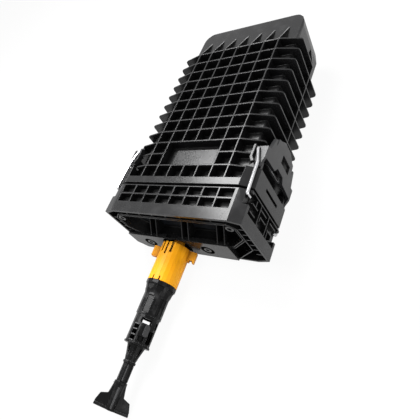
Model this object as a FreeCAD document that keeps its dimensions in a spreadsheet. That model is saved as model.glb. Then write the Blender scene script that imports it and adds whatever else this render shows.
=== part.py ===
import FreeCAD, Part
import math
import os
import Sketcher
from FreeCAD import Placement, Rotation, Vector

# Driving dimensions of the splice closure in millimetres. The closure is drawn upright,
# base down, front towards -Y, and every sub-part is then laid on its back by its Placement.
DRIVING = {
    "base_width": 194.0,
    "base_height": 40.0,
    "base_step": 0.4,
    "base_corner": 14.5,
    "base_setback": 4.7,
    "wall": 3.0,
    "rib_thick": 2.0,
    "rib_pitch": 20.0,
    "rib_inset": 7.0,
    "rib_depth": 12.0,
    "rib_side_depth": 11.0,
    "rib_corner": 28.0,
    "rib_setback": 6.5,
    "rib_blunt": 3.0,
    "first_rise": 1.1,
    "spine_back": 6.0,
    "dome_depth": 93.6,
    "dome_top": 331.0,
    "shell_corner": 2.5,
    "cap_height": 62.25,
    "cap_round": 25.0,
    "cap_edge": 3.0,
    "cap_fall": 25.0,
    "cap_crown": 25.0,
    "cap_brow": 12.0,
    "gusset_rise": 36.75,
    "plate_width": 60.0,
    "plate_height": 21.0,
    "plate_sink": 0.8,
    "seal_gap": 3.0,
    "seal_width": 6.0,
    "seal_inset": 7.0,
    "flange_height": 9.5,
    "flange_corner": 16.0,
    "flange_setback": 7.0,
    "ledge_rise": 15.5,
    "slot_length": 34.0,
    "slot_height": 3.5,
    "cell_depth": 8.5,
    "cell_low": 14.8,
    "base_rim": 3.0,
    "cell_rim": 1.4,
    "side_cell_depth": 5.0,
    "deck": 6.0,
    "ring_inset": 10.0,
    "ring_front_inset": 7.9,
    "ring_rear": 17.0,
    "ring_wall": 3.5,
    "ring_groove": 1.5,
    "ring_front_cut": 10.0,
    "ring_rear_cut": 22.0,
    "boss_inset": 9.5,
    "land_drop": 3.0,
    "land_front": 9.0,
    "land_right": 59.0,
    "land_cut": 12.0,
    "port_pitch": 50.0,
    "partition_gap": 8.0,
    "partition_wall": 1.4,
    "gel_drop": 7.0,
    "gel_thick": 15.0,
    "gel_lip": 1.6,
    "plate_thick": 3.5,
    "fit": 0.3,
    "running": 0.05,
    "bolt_radius": 1.85,
    "bolt_head": 3.8,
    "post_radius": 5.0,
    "post_bore": 2.5,
    "post_reach": 3.0,
    "seat_inset": 19.4,
    "seat_pitch": 45.0,
    "seat_middle": -21.5,
    "seat_pocket": 9.0,
    "sleeve_radius": 19.0,
    "sleeve_wall": 2.4,
    "sleeve_drop": 6.0,
    "sleeve_length": 50.5,
    "hub_wall": 2.4,
    "hub_rise": 12.0,
    "lug_reach": 9.0,
    "collar_radius": 19.0,
    "collar_length": 16.0,
    "tube_radius": 15.6,
    "tube_length": 26.0,
    "clamp_radius": 14.6,
    "clamp_length": 32.0,
    "holder_bore": 11.0,
    "holder_flange": 15.6,
    "holder_flange_thick": 2.5,
    "neck_top": 10.9,
    "neck_ring": 7.5,
    "neck_radius": 6.3,
    "neck_taper": 18.0,
    "neck_length": 20.0,
    "neck_band": 3.0,
    "foot_height": 28.0,
    "foot_half": 19.8,
    "foot_far": 21.5,
    "foot_thick": 2.6,
    "lever_thick": 4.0,
    "lever_gap": 3.2,
    "lever_reach": 30.5,
    "arm_head": 3.5,
    "pivot_inset": 6.0,
    "pivot_rise": 6.0,
    "bail_inset": 10.5,
    "bail_rise": 19.5,
    "arm_thick": 3.8,
    "arm_lip": 3.9,
    "pin_radius": 2.0,
    "ear_thick": 4.0,
    "ear_head": 6.0,
    "wire": 3.5,
    "wire_sink": 2.4,
    "hook_inset": 4.0,
    "hook_drop": 5.5,
    "hook_slack": 0.65,
    "carrier_thick": 2.5,
    "carrier_drop": 44.5,
    "carrier_width": 100.0,
    "carrier_gap": 1.3,
    "tray_width": 116.0,
    "tray_length": 174.0,
    "tray_rise": 39.5,
    "tray_gap": 1.0,
    "tray_room": 1.9,
    "tray_wall": 2.0,
    "hinge_drop": 7.0,
    "hinge_pin": 1.5,
    "cheek_inset": 4.0,
    "strap_width": 14.0,
    "strap_thick": 1.5,
}
RIB_COLUMNS = 7
RIB_ROWS = 12
PORTS = 4
SEATS = 3
SIDE_WEBS = 6
TRAYS = 4

os.makedirs("parts", exist_ok=True)
doc = FreeCAD.newDocument("splice_closure")
sheet = doc.addObject("Spreadsheet::Sheet", "Sizes")
for row, (alias, number) in enumerate(DRIVING.items(), start=1):
    sheet.set(f"A{row}", alias)
    sheet.set(f"B{row}", str(number))
    sheet.setAlias(f"B{row}", alias)
doc.recompute()


class Size:
    """A length that keeps its number together with the spreadsheet expression behind it."""

    def __init__(self, number, text):
        self.number = number
        self.text = text

    def __add__(self, other):
        other = as_size(other)
        return Size(self.number + other.number, f"({self.text} + {other.text})")

    def __sub__(self, other):
        other = as_size(other)
        return Size(self.number - other.number, f"({self.text} - {other.text})")

    def __mul__(self, other):
        other = as_size(other)
        return Size(self.number * other.number, f"({self.text} * {other.text})")

    def __truediv__(self, other):
        other = as_size(other)
        return Size(self.number / other.number, f"({self.text} / {other.text})")

    def __radd__(self, other):
        return as_size(other) + self

    def __rsub__(self, other):
        return as_size(other) - self

    def __rmul__(self, other):
        return as_size(other) * self

    def __neg__(self):
        return Size(-self.number, f"(0 - {self.text})")


def as_size(value):
    if isinstance(value, Size):
        return value
    return Size(float(value), f"({float(value)})")


def size(alias):
    return Size(float(sheet.get(alias)), f"Sizes.{alias}")


def bind(feature, **lengths):
    for name, length in lengths.items():
        feature.setExpression(name.replace("__", "."), as_size(length).text)


def box(name, x, y, z):
    """A block from its low and high limits on each axis."""
    block = doc.addObject("Part::Box", name)
    for axis, side, (low, high) in zip("xyz", ("Length", "Width", "Height"), (x, y, z)):
        bind(block, **{side: as_size(high) - low, f"Placement__Base__{axis}": low})
    return block


def rod(name, radius, x, y, z):
    """An upright round bar between two heights."""
    bar = doc.addObject("Part::Cylinder", name)
    low, high = z
    bind(bar, Radius=radius, Height=as_size(high) - low)
    bind(bar, Placement__Base__x=x, Placement__Base__y=y, Placement__Base__z=low)
    return bar


def cross_bar(name, radius, x, y, z):
    """A twelve-sided bar lying along Y between two depths."""
    bar = doc.addObject("Part::Prism", name)
    bar.Polygon = 12
    low, high = y
    bar.Placement = Placement(Vector(), Rotation(Vector(1, 0, 0), -90))
    bind(bar, Circumradius=radius, Height=as_size(high) - low)
    bind(bar, Placement__Base__x=x, Placement__Base__y=low, Placement__Base__z=z)
    return bar


def long_bar(name, radius, x, y, z):
    """An eight-sided bar lying along X between two limits."""
    bar = doc.addObject("Part::Prism", name)
    bar.Polygon = 8
    low, high = x
    bar.Placement = Placement(Vector(), Rotation(Vector(0, 1, 0), 90))
    bind(bar, Circumradius=radius, Height=as_size(high) - low)
    bind(bar, Placement__Base__x=low, Placement__Base__y=y, Placement__Base__z=z)
    return bar


def many_sided(name, sides, radius, x, y, z):
    """An upright many-sided bar between two heights; the radius reaches its corners."""
    bar = doc.addObject("Part::Prism", name)
    bar.Polygon = sides
    low, high = z
    bind(bar, Circumradius=radius, Height=as_size(high) - low)
    bind(bar, Placement__Base__x=x, Placement__Base__y=y, Placement__Base__z=low)
    return bar


def tapered(name, sides, sections):
    """A many-sided bar through sections of radius and height."""
    rings = []
    for number, (radius, z) in enumerate(sections):
        ring = doc.addObject("Part::RegularPolygon", f"{name}_{number}")
        ring.Polygon = sides
        bind(ring, Circumradius=radius, Placement__Base__z=z)
        rings.append(ring)
    loft = doc.addObject("Part::Loft", name)
    loft.Sections = rings
    loft.Solid = True
    loft.Ruled = True
    return loft


def fuse(name, parts):
    joined = doc.addObject("Part::MultiFuse", name)
    joined.Shapes = list(parts)
    return joined


def common(name, first, second):
    overlap = doc.addObject("Part::MultiCommon", name)
    overlap.Shapes = [first, second]
    return overlap


def cut(name, stock, tools):
    tools = list(tools)
    remainder = doc.addObject("Part::Cut", name)
    remainder.Base = stock
    remainder.Tool = tools[0] if len(tools) == 1 else fuse(name + "_tools", tools)
    return remainder


def mirror(name, source, normal):
    twin = doc.addObject("Part::Mirroring", name)
    twin.Source = source
    twin.Normal = normal
    return twin


def both(name, source, normal):
    """A form together with its mirror image."""
    return fuse(name, [source, mirror(name + "_twin", source, normal)])


ACROSS = Vector(1, 0, 0)
THROUGH = Vector(0, 1, 0)


def draw(sketch, points):
    """Closes a chain of lines through the points and ties each point to the sheet."""
    count = len(points)
    points = [(as_size(x), as_size(y)) for x, y in points]
    spots = [Vector(x.number, y.number, 0) for x, y in points]
    for index, spot in enumerate(spots):
        sketch.addGeometry(Part.LineSegment(spot, spots[(index + 1) % count]), False)
    for index in range(count):
        sketch.addConstraint(Sketcher.Constraint("Coincident", index, 2, (index + 1) % count, 1))
    for index, point in enumerate(points):
        for kind, length in zip(("DistanceX", "DistanceY"), point):
            tie = Sketcher.Constraint(kind, -1, 1, index, 1, length.number)
            number = sketch.addConstraint(tie)
            sketch.setExpression(f"Constraints[{number}]", length.text)


def sketched_body(name, plane, points, offset):
    """A new body with one outline on one of its own origin planes, shifted along its normal."""
    body = doc.addObject("PartDesign::Body", name)
    sketch = body.newObject("Sketcher::SketchObject", name + "_outline")
    support = next(item for item in body.Origin.OriginFeatures if item.Role == plane)
    sketch.AttachmentSupport = [(support, "")]
    sketch.MapMode = "FlatFace"
    bind(sketch, AttachmentOffset__Base__z=offset)
    draw(sketch, points)
    return body, sketch


def prism(name, points, z):
    """An upright prism over an outline in X and Y."""
    low, high = z
    body, sketch = sketched_body(name, "XY_Plane", points, low)
    pad = body.newObject("PartDesign::Pad", name + "_pad")
    pad.Profile = sketch
    bind(pad, Length=as_size(high) - low)
    return body


def plate_across(name, points, y):
    """A plate whose outline is seen from the front, in X and Z, between two depths."""
    low, high = y
    body, sketch = sketched_body(name, "XZ_Plane", points, -as_size(high))
    pad = body.newObject("PartDesign::Pad", name + "_pad")
    pad.Profile = sketch
    bind(pad, Length=as_size(high) - low)
    return body


def plate_beside(name, points, x):
    """A plate whose outline is seen from the side, in Y and Z, between two widths."""
    low, high = x
    body, sketch = sketched_body(name, "YZ_Plane", points, low)
    pad = body.newObject("PartDesign::Pad", name + "_pad")
    pad.Profile = sketch
    bind(pad, Length=as_size(high) - low)
    return body


def soften(before, corner, after, steps=3):
    """The points of a bend, in flats, that replaces a sharp corner of an outline."""
    bend = []
    for step in range(steps + 1):
        along = step / steps
        shares = ((1 - along) ** 2, 2 * along * (1 - along), along ** 2)
        point = []
        for trio in zip(before, corner, after):
            first, second, third = [as_size(value) * share for value, share in zip(trio, shares)]
            point.append(first + second + third)
        bend.append(tuple(point))
    return bend


def symmetric(quarter):
    """A closed outline from its front right quarter, drawn from the front to the side."""
    right = quarter + [(x, -as_size(y)) for x, y in reversed(quarter)]
    return right + [(-as_size(x), -as_size(y)) for x, y in right]


def octagon(half_width, half_depth, half_flat, setback):
    """A flat-fronted outline whose corners fall back to the sides."""
    return symmetric([(half_flat, -as_size(half_depth)), (half_width, setback - half_depth)])


def rounded(half_width, half_depth, radius):
    """A box outline with rounded corners."""
    return symmetric(soften((half_width - radius, -half_depth), (half_width, -half_depth),
                            (half_width, radius - half_depth), 2))


def at(feature, x, y, turn=0.0):
    """Stands a form on a new axis, turned about it."""
    feature.Placement = Placement(Vector(), Rotation(Vector(0, 0, 1), turn))
    bind(feature, Placement__Base__x=x, Placement__Base__y=y)
    return feature


past = 1.0
wall = size("wall")
fit = size("fit")
running = size("running")
rib_half = size("rib_thick") / 2
pitch = size("rib_pitch")
dome_front = size("dome_depth") / 2
base_half = size("base_width") / 2
base_front = dome_front - size("base_step")
base_flat = base_half - size("base_corner")
flange_flat = base_half - size("flange_corner")
dome_half = base_half - size("rib_inset")
shell_half = dome_half - size("rib_side_depth")
shell_front = dome_front - size("rib_depth")
flange_low = size("base_height") + size("seal_gap")
flange_top = flange_low + size("flange_height")
ledge = flange_top + size("ledge_rise")
first_rib = ledge + size("first_rise")
last_rib = size("dome_top") - size("cap_height")
rib_rise = (last_rib - first_rib) / (RIB_ROWS - 1)
rear_rib = last_rib - rib_rise
bore_top = size("dome_top") - size("cap_fall") - wall
gel_high = size("base_height") - size("gel_drop")
gel_low = gel_high - size("gel_thick")
ring_half = base_half - size("ring_inset")
ring_front = base_front - size("ring_front_inset")
ring_rear = size("ring_rear")
land_low = -size("land_drop")
seat_back = base_front - size("seat_inset")
carrier_low = gel_high + size("plate_thick")
carrier_back = ring_rear - size("ring_wall") - size("carrier_gap")
tray_low = carrier_low + size("tray_rise")
strap_gap = fit * 2
nodes = {}


def node(label, form):
    """Names a finished sub-part and lays it on its back on the resting plane."""
    form.Label = label
    form.Placement = Placement(Vector(), Rotation(Vector(1, 0, 0), -90))
    bind(form, Placement__Base__y=-(flange_low + size("flange_height") / 2))
    bind(form, Placement__Base__z=dome_front)
    nodes[label] = form


# Latch places: the levers hang on pins in the dome's ears, just above the flange ledge, and
# the wire bails run down the set-back corners to hooks in the base.
lever_inner = dome_half + size("lever_gap")
lever_outer = lever_inner + size("lever_thick")
pivot_x = base_half - size("pivot_inset")
pivot_z = ledge + size("pivot_rise")
bail_x = base_half - size("bail_inset")
bail_z = pivot_z + size("bail_rise")
lever_arm_top = bail_z + size("arm_head")
lever_top = lever_arm_top + size("lever_reach")
hook_axis_x = base_half - size("hook_inset")
hook_axis_z = size("base_height") - size("hook_drop")
wire_radius = size("wire") / 2
wire_depth = dome_front - size("wire_sink")
arm_outer = wire_depth - wire_radius - fit
arm_inner = arm_outer - size("arm_thick")
ear_outer = arm_inner - fit
ear_inner = ear_outer - size("ear_thick")
arm_left = bail_x - size("ear_head") + past


def make_dome():
    """The ribbed cover: a smooth thin shell that rises out of a grid of deep ribs."""
    wide = (-dome_half - past, dome_half + past)
    deep = (-dome_front - past, dome_front + past)
    spine_y = (size("spine_back") - rib_half, size("spine_back") + rib_half)
    slabs = []
    for index in range(RIB_ROWS):
        middle = first_rib + rib_rise * index
        row_y = deep if index < RIB_ROWS - 1 else (deep[0], spine_y[1])
        slabs.append(box(f"rib_row_{index}", wide, row_y, (middle - rib_half, middle + rib_half)))
    gussets = []
    for index in range(RIB_COLUMNS):
        middle = pitch * (index - (RIB_COLUMNS - 1) / 2)
        column = (middle - rib_half, middle + rib_half)
        slabs.append(box(f"rib_front_{index}", column, (deep[0], 0), (flange_low, last_rib)))
        slabs.append(box(f"rib_rear_{index}", column, (0, deep[1]), (flange_low, rear_rib)))
        front = gusset(-dome_front, past - shell_front, last_rib)
        rear = gusset(dome_front, shell_front - past, rear_rib)
        gussets.append(plate_beside(f"gusset_front_{index}", front, column))
        gussets.append(plate_beside(f"gusset_rear_{index}", rear, column))
    spine = (lever_top + size("rib_thick"), last_rib)
    slabs.append(box("rib_side", wide, spine_y, spine))
    side = plate_across("gusset_side", gusset(dome_half, shell_half - past, last_rib), spine_y)
    gussets.append(both("gusset_sides", side, ACROSS))
    envelope = prism("rib_envelope", rib_outline(), (flange_low, last_rib + rib_half))
    ribs = common("rib_grid", envelope, fuse("rib_slabs", slabs))

    # The latch corners are cut back so that the lever arms and the bail can swing.
    swing = (ledge - past, lever_arm_top + 3 * past)
    reach = (arm_left - 2 * past, dome_half + past)
    corner_room = box("corner_room", reach, (-dome_front - past, -ear_outer), swing)
    room = both("latch_room", both("corner_rooms", corner_room, THROUGH), ACROSS)

    # A smooth recess on the front holds a raised plain plate in its lower right part.
    recess_x = (-pitch * 2 + rib_half, pitch * 2 - rib_half)
    recess_low = first_rib + rib_half
    recess_z = (recess_low, first_rib + rib_rise * 2 - rib_half)
    recess = box("recess", recess_x, (-dome_front - past, -shell_front), recess_z)
    trimmed = cut("rib_grid_trimmed", ribs, [room, recess])
    plate_x = (pitch * 2 - size("plate_width"), pitch * 2 - rib_half)
    plate_z = (recess_low, recess_low + size("plate_height"))
    plate = box("front_plate", plate_x, (-dome_front + size("plate_sink"), -shell_front + past), plate_z)

    # The flange closes on the seal; its sides rise to the ledge under the levers.
    flange_outline = octagon(base_half, dome_front, flange_flat, size("flange_setback"))
    flange = prism("flange", flange_outline, (flange_low, flange_top))
    solid = [make_shell(deep), trimmed, flange, both("flanks", make_flank(), ACROSS), plate] + gussets
    bore_half = shell_half - wall
    bore = prism("dome_bore", octagon(bore_half, shell_front - wall, bore_half - wall, wall),
                 (flange_low - past, bore_top))
    vault_half = shell_half - size("cap_round")
    vault = plate_beside("cap_vault", roof_outline(wall, bore_top - past), (-vault_half, vault_half))
    node("dome", wrap("dome_form", cut("dome_shell", fuse("dome_solid", solid), [bore, vault])))


def rib_outline():
    """The outline of the ribs' outer edges: flat faces, set-back corners and blunt tips."""
    flat = dome_half - size("rib_corner")
    shoulder = size("rib_setback") - dome_front
    blunt = size("rib_blunt")
    slope = size("rib_setback") / size("rib_corner")
    before = (dome_half - blunt, shoulder - slope * blunt)
    tip = soften(before, (dome_half, shoulder), (dome_half, shoulder + blunt), 2)
    return symmetric([(flat, -dome_front)] + tip)


def gusset(outer, inner, rib):
    """The outline of a gusset that runs from the edge of an end rib up to the shell."""
    face = inner - past if inner.number < 0 else inner + past
    apex = rib + size("gusset_rise")
    return [(outer, rib), (outer, rib + rib_half), (face, apex), (inner, apex), (inner, rib)]


def make_shell(deep):
    """The smooth shell, with round upper corners and a roof that falls away to the rear."""
    top = size("dome_top")
    large = size("cap_round")
    stock = prism("shell_stock", rounded(shell_half, shell_front, size("shell_corner")), (flange_low, top))
    right = [(shell_half, flange_low)]
    right += soften((shell_half, top - large), (shell_half, top), (shell_half - large, top), 5)
    face = plate_across("shell_face", right + [(-x, z) for x, z in reversed(right)], deep)
    side = plate_beside("shell_side", roof_outline(0, flange_low), (-shell_half, shell_half))
    return common("shell", common("shell_round", stock, face), side)


def roof_outline(inset, low):
    """The shell's section seen from the side, moved inwards: a bent front edge and a falling roof."""
    inset = as_size(inset)
    top = size("dome_top") - inset
    edge = size("cap_edge")
    front = inset - shell_front
    rear = shell_front - inset
    bend = soften((front, top - edge), (front, top), (front + edge, top), 2)
    roof = soften((-size("cap_crown"), top), (size("cap_brow"), top), (rear, top - size("cap_fall")), 4)
    return [(front, low)] + bend + roof + [(rear, low)]


def make_flank():
    """The right side of the flange: ledge, slotted outer wall, corner posts and lever ears."""
    shoulder = dome_front - size("flange_setback")
    inner = shell_half - past
    shelf = box("ledge_shelf", (inner, base_half), (-shoulder, shoulder), (ledge - wall, ledge))
    skin = box("ledge_wall", (base_half - wall, base_half), (-shoulder, shoulder), (flange_top, ledge))
    half_slot = size("slot_length") / 2
    slot_low = flange_top + wall
    slot = box("ledge_slot", (base_half - wall - past, base_half + past), (-half_slot, half_slot),
               (slot_low, slot_low + size("slot_height")))
    post = prism("corner_post",
                 [(flange_flat, -dome_front), (base_half, -shoulder),
                  (base_half, -ear_inner), (flange_flat, -ear_inner)],
                 (flange_top, ledge))
    head = pivot_z + size("ear_head")
    ear = plate_across("lever_ear",
                       [(inner, ledge - past), (pivot_x + size("ear_head") / 2, ledge - past),
                        (pivot_x + size("ear_head") / 2, head), (pivot_x - size("ear_head"), head),
                        (inner, head - size("ear_head"))],
                       (-ear_outer, -ear_inner))
    ear_y = (-ear_outer - past, -ear_inner + past)
    hole = cross_bar("ear_hole", size("pin_radius"), pivot_x, ear_y, pivot_z)
    corner = fuse("flank_corner", [post, cut("lever_ear_bored", ear, [hole])])
    outer = cut("ledge_wall_slotted", skin, [slot])
    return fuse("flank", [shelf, outer, both("flank_corners", corner, THROUGH)])


def make_base():
    """The moulded base: celled skirt, recessed underside and the walled cable compartments."""
    tall = size("base_height")
    outline = octagon(base_half, base_front, base_flat, size("base_setback"))
    block = prism("base_block", outline, (0, tall))
    cells = []
    half = pitch / 2 - rib_half
    cell_high = tall - size("cell_rim")
    middle_height = (size("cell_low") + cell_high) / 2
    rows = ((size("cell_low"), middle_height - rib_half), (middle_height + rib_half, cell_high))
    cell_y = (-base_front - past, -base_front + size("cell_depth"))
    for column in range(RIB_COLUMNS + 1):
        middle = pitch * (column - RIB_COLUMNS / 2)
        for level, row_z in enumerate(rows):
            cells.append(box(f"cell_{column}_{level}", (middle - half, middle + half), cell_y, row_z))
    front_cells = both("face_cells", fuse("front_cells", cells), THROUGH)
    side_cells = both("side_cells", make_side_cells(rows), ACROSS)
    hook_high = hook_axis_z + wire_radius + size("hook_slack")
    hook_x = (hook_axis_x - wire_radius - fit, base_half + past)
    hook_z = (hook_high - size("wire") * 4, hook_high)
    hook = box("hook_pocket", hook_x, (-base_front - past, -ear_inner), hook_z)
    groove_x = (hook_x[0] - fit * 2, hook_x[1])
    groove = box("wire_channel", groove_x, (-base_front - past, -arm_outer), (hook_high - past, tall + past))
    corner_cuts = both("hook_corners", fuse("hook_corner", [hook, groove]), THROUGH)
    hooks = both("hook_pockets", corner_cuts, ACROSS)

    skirt_x = base_half - size("side_cell_depth") - wall
    skirt_y = base_front - size("cell_depth") - wall / 1.5
    under = tall - size("deck")
    rim = size("base_rim")
    rim_y = base_front - rim
    moat_high = box("moat_high", (-skirt_x, skirt_x), (-skirt_y, skirt_y), (-past, under))
    rim_outline = octagon(base_half - rim, rim_y, base_flat - rim / 2, size("base_setback"))
    moat_low = prism("moat_low", rim_outline, (-past, size("cell_low") - wall))
    ring = prism("ring", ring_outline(0), (-2 * past, under + past))
    moat = cut("moat", fuse("moat_rooms", [moat_high, moat_low]), [ring])
    thick = size("ring_wall")
    lip = size("gel_lip")
    chamber = prism("chamber", ring_outline(thick), (gel_low, tall + past))
    throat = prism("throat", ring_outline(thick + lip), (gel_low - lip - past, gel_low + past))
    mouth = prism("mouth", ring_outline(thick), (-past, gel_low - lip))
    groove_out = (thick - size("ring_groove")) / 2
    groove_stock = prism("groove_stock", ring_outline(groove_out), (-past, wall))
    groove_in = groove_out + size("ring_groove")
    groove_core = prism("groove_core", ring_outline(groove_in), (-2 * past, wall + past))
    groove = cut("groove", groove_stock, [groove_core])
    shell = cut("base_shell", block, [front_cells, side_cells, hooks, moat, chamber, throat, mouth, groove])

    inside = []
    rear = ring_rear - past
    front = past - ring_front
    foot = land_low + past
    heel = size("land_front") + past
    slope = [(rear, foot), (rear, gel_high), (front, gel_high), (front, gel_low),
             (heel - gel_low + foot, gel_low), (heel, foot)]
    pair = (size("partition_gap") + size("partition_wall")) / 2
    for index in range(PORTS - 1):
        middle = wall_x(index)
        for side in (-1, 1):
            centre = middle + pair * side
            span = (centre - size("partition_wall") / 2, centre + size("partition_wall") / 2)
            inside.append(plate_beside(f"partition_{index}_{(side + 1) // 2}", slope, span))
        boss_z = (gel_high - size("deck") * 2, gel_high)
        boss_y = (bolt_y() - pair, bolt_y() + pair)
        boss = box(f"bolt_boss_{index}", (middle - pair, middle + pair), boss_y, boss_z)
        hole = many_sided(f"bolt_hole_{index}", 8, size("bolt_radius") + running, middle, bolt_y(),
                          (boss_z[0] + past, boss_z[1] + past))
        inside.append(cut(f"bolt_boss_bored_{index}", boss, [hole]))
    inside += moat_ribs(skirt_y, under)
    inside.append(make_land())
    for index in range(SEATS):
        inside.append(seat_post(index, under))
    node("base_housing", wrap("base_form", fuse("base_joined", [shell] + inside)))


def make_land():
    """The flat land behind the compartments, with a round pocket about each seat post."""
    rear = base_front - size("base_rim") + past / 2
    front = size("land_front")
    left = past * 2 - base_half
    right = size("land_right")
    corner = size("land_cut")
    outline = [(left, front), (right, front), (right, rear), (left + corner, rear), (left, rear - corner)]
    land = prism("rear_land", outline, (land_low, wall))
    pockets = []
    for index in range(SEATS):
        radius = size("sleeve_radius") + past * 1.5 if index == seat_index else size("seat_pocket")
        pockets.append(many_sided(f"seat_pocket_{index}", 16, radius, seat_x(index), seat_back,
                                  (land_low - past, wall + past)))
    return cut("rear_land_open", land, pockets)


def wall_x(index):
    """The middle of the double wall between two neighbouring compartments."""
    return size("port_pitch") * (index - (PORTS - 2) / 2)


def ring_outline(inset):
    """The cable compartments' outline, moved inwards, with small front and large rear corner cuts."""
    inset = as_size(inset)
    half = ring_half - inset
    front = inset - ring_front
    rear = ring_rear - inset
    shorter = inset * (2 - math.sqrt(2))
    small = size("ring_front_cut") - shorter
    large = size("ring_rear_cut") - shorter
    right = [(half - small, front), (half, front + small), (half, rear - large), (half - large, rear)]
    return right + [(-x, y) for x, y in reversed(right)]


def bolt_y():
    return (ring_rear - ring_front) / 2


def make_side_cells(rows):
    """The shallow pocket on the base's right side, less a maze of thin stiffening ribs."""
    low, high = rows[0][0], rows[1][1]
    deep = (base_half - size("side_cell_depth"), base_half + past)
    half = base_front - size("base_setback") - wall * 1.5
    thin = size("partition_wall") / 2
    step = half * 2 / 13
    rise = (high - low) / 5

    def along(count):
        return step * count - half

    # Each rib is given in steps from the pocket's front lower corner.
    uprights = ((4, 0, 5), (8, 0, 5), (2, 3, 4.5), (4.7, 1.5, 2.5), (9, 0, 2), (11, 1, 2))
    shelves = ((3, 0, 3), (1, 0.5, 2.7), (4, 4, 7), (2.5, 4.7, 7.4), (4, 9, 12), (2, 8.7, 11))
    ribs = []
    for number, (place, start, end) in enumerate(uprights):
        ribs.append(box(f"side_upright_{number}", deep, (along(place) - thin, along(place) + thin),
                        (low + rise * start - past / 2, low + rise * end + past / 2)))
    for number, (level, start, end) in enumerate(shelves):
        height = low + rise * level
        ribs.append(box(f"side_shelf_{number}", deep, (along(start) - past / 2, along(end) + past / 2),
                        (height - thin, height + thin)))
    return cut("right_cells", box("side_pocket", deep, (-half, half), (low, high)), ribs)


def moat_ribs(skirt_y, under):
    """Thin webs and walls between the compartments and the skirt, and bored bosses at the front."""
    web = size("partition_wall") / 2
    rim_y = base_front - size("base_rim")
    low_z = (past, size("cell_low") - wall + past)
    webs = []
    for index in range(RIB_COLUMNS):
        x = pitch * (index - (RIB_COLUMNS - 1) / 2)
        webs.append(box(f"web_front_{index}", (x - web, x + web),
                        (-rim_y - past / 2, past - ring_front), low_z))
    for index in range(PORTS - 1):
        x = wall_x(index)
        webs.append(box(f"web_rear_{index}", (x - web, x + web), (ring_rear - past, skirt_y + past),
                        (wall, under + past)))
    outer = base_half - size("base_rim") + past / 2
    for index in range(SIDE_WEBS):
        y = pitch * 0.55 * (index - (SIDE_WEBS - 1) / 2)
        side = box(f"web_side_{index}", (ring_half - past, outer), (y - web, y + web), low_z)
        webs.append(both(f"web_sides_{index}", side, ACROSS))

    # At the right rear the compartments' outline is carried on by a straight and a slanted wall.
    thin = size("partition_wall")
    bend = ring_rear - size("ring_rear_cut") - past
    webs.append(box("corner_side", (ring_half - thin, ring_half), (bend, ring_rear), (0, under + past)))
    span = rim_y + past / 2 - ring_rear
    slant = thin * math.sqrt(2)
    webs.append(prism("corner_slant", [(ring_half - slant, ring_rear), (ring_half, ring_rear),
                                       (ring_half - span, ring_rear + span),
                                       (ring_half - span - slant, ring_rear + span)], (0, under + past)))
    boss_x = ring_half - size("boss_inset")
    boss_y = size("boss_inset") + past - ring_front
    boss = many_sided("corner_boss", 12, size("post_radius"), boss_x, boss_y, (0, gel_low - fit))
    hole = many_sided("corner_hole", 12, size("post_bore"), boss_x, boss_y, (-past, gel_low - wall))
    webs.append(both("corner_bosses", cut("corner_boss_bored", boss, [hole]), ACROSS))
    return webs


def seat_x(index):
    return size("seat_middle") + size("seat_pitch") * (index - (SEATS - 1) / 2)


def seat_post(index, under):
    """A bored post behind each compartment, on which a cable holder's sleeve is pushed."""
    reach = -size("post_reach")
    x = seat_x(index)
    post = rod(f"seat_post_{index}", size("post_radius"), x, seat_back, (reach, under + past))
    bore = many_sided(f"seat_bore_{index}", 8, size("post_bore"), x, seat_back,
                      (reach - past, under - size("deck")))
    return cut(f"seat_post_bored_{index}", post, [bore])


def make_seal():
    """The flat ring seal that is clamped between base and dome."""
    inset = size("seal_inset")
    setback = size("base_setback")
    heights = (size("base_height"), flange_low)
    outer = octagon(base_half - inset, base_front - inset, base_flat - inset, setback)
    inset = inset + size("seal_width")
    inner = octagon(base_half - inset, base_front - inset, base_flat - inset, setback)
    ring = prism("seal_outer", outer, heights)
    hole = prism("seal_inner", inner, (heights[0] - past, heights[1] + past))
    node("dome_seal", cut("seal_ring", ring, [hole]))


def compartment(index, margin):
    """The width limits of a compartment, less a margin on each side."""
    clear = size("partition_gap") / 2 + size("partition_wall") + margin
    edge = ring_half - size("ring_wall") - margin
    low = wall_x(index - 1) + clear if index > 0 else -edge
    high = wall_x(index) - clear if index < PORTS - 1 else edge
    return low, high


def make_gel():
    """A soft sealing block in each compartment, under the inner pressure plate."""
    heights = (gel_low, gel_high)
    for index in range(PORTS):
        room = prism(f"gel_room_{index}", ring_outline(size("ring_wall") + fit), heights)
        span = box(f"gel_span_{index}", compartment(index, fit), (-ring_front, ring_rear), heights)
        node(f"gel_block_{index + 1}", wrap(f"gel_form_{index}", common(f"gel_cut_{index}", room, span)))


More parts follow.
